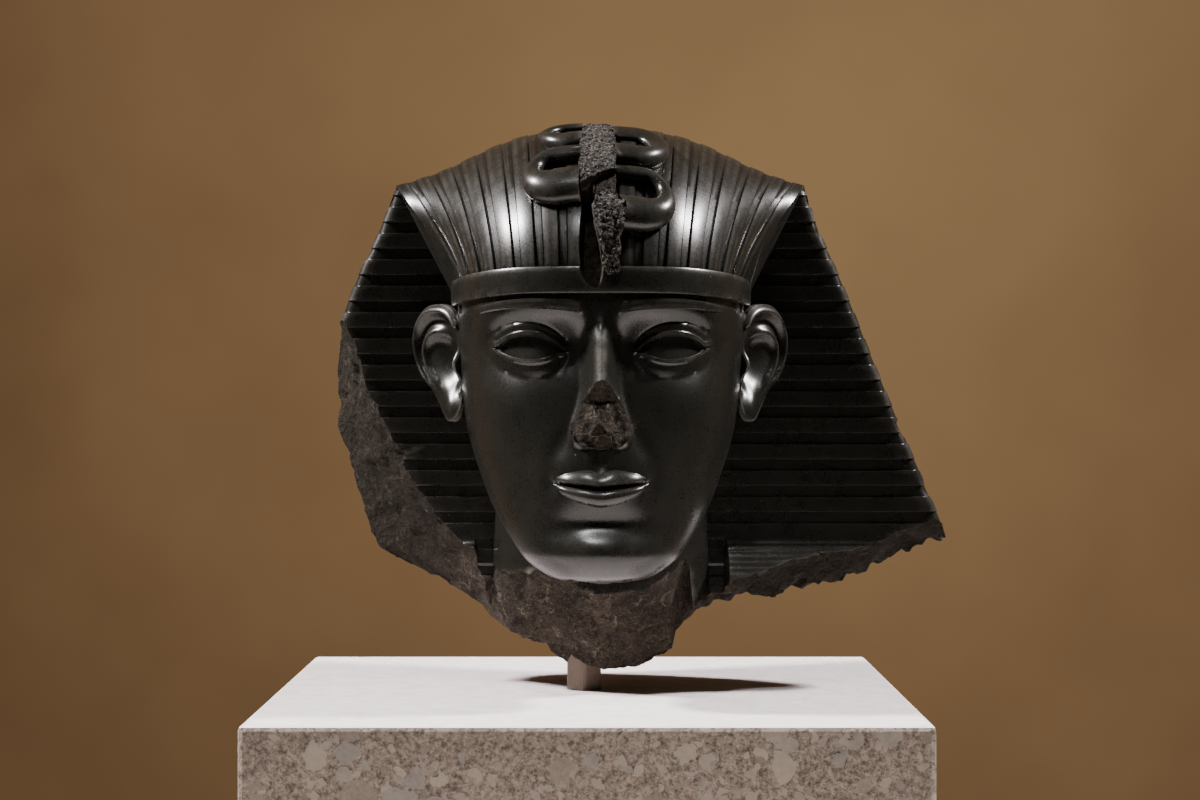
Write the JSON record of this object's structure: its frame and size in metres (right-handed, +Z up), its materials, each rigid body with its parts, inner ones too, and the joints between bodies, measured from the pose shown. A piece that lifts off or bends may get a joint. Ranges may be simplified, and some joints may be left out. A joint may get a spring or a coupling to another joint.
{
  "type": "royal head sculpture",
  "caption": "Royal head in a pleated headcloth, carved in dark stone and broken below the chin, on a square metal post set in a stone block.",
  "frame": {"origin": "centre of the block's underside", "axes": "+Z up, the face looks towards -Y, +X is to the viewer's right when facing the face"},
  "size_m": [0.3015, 0.28, 0.3728],
  "materials": {
    "dark_stone": "polished dark greywacke, rough and browner where it is broken",
    "post_metal": "satin brown-grey paint",
    "plinth_stone": "honed pale conglomerate"
  },
  "bodies": {
    "root": {"head": "dark_stone", "post": "post_metal", "plinth": "plinth_stone"}
  },
  "joints": []
}
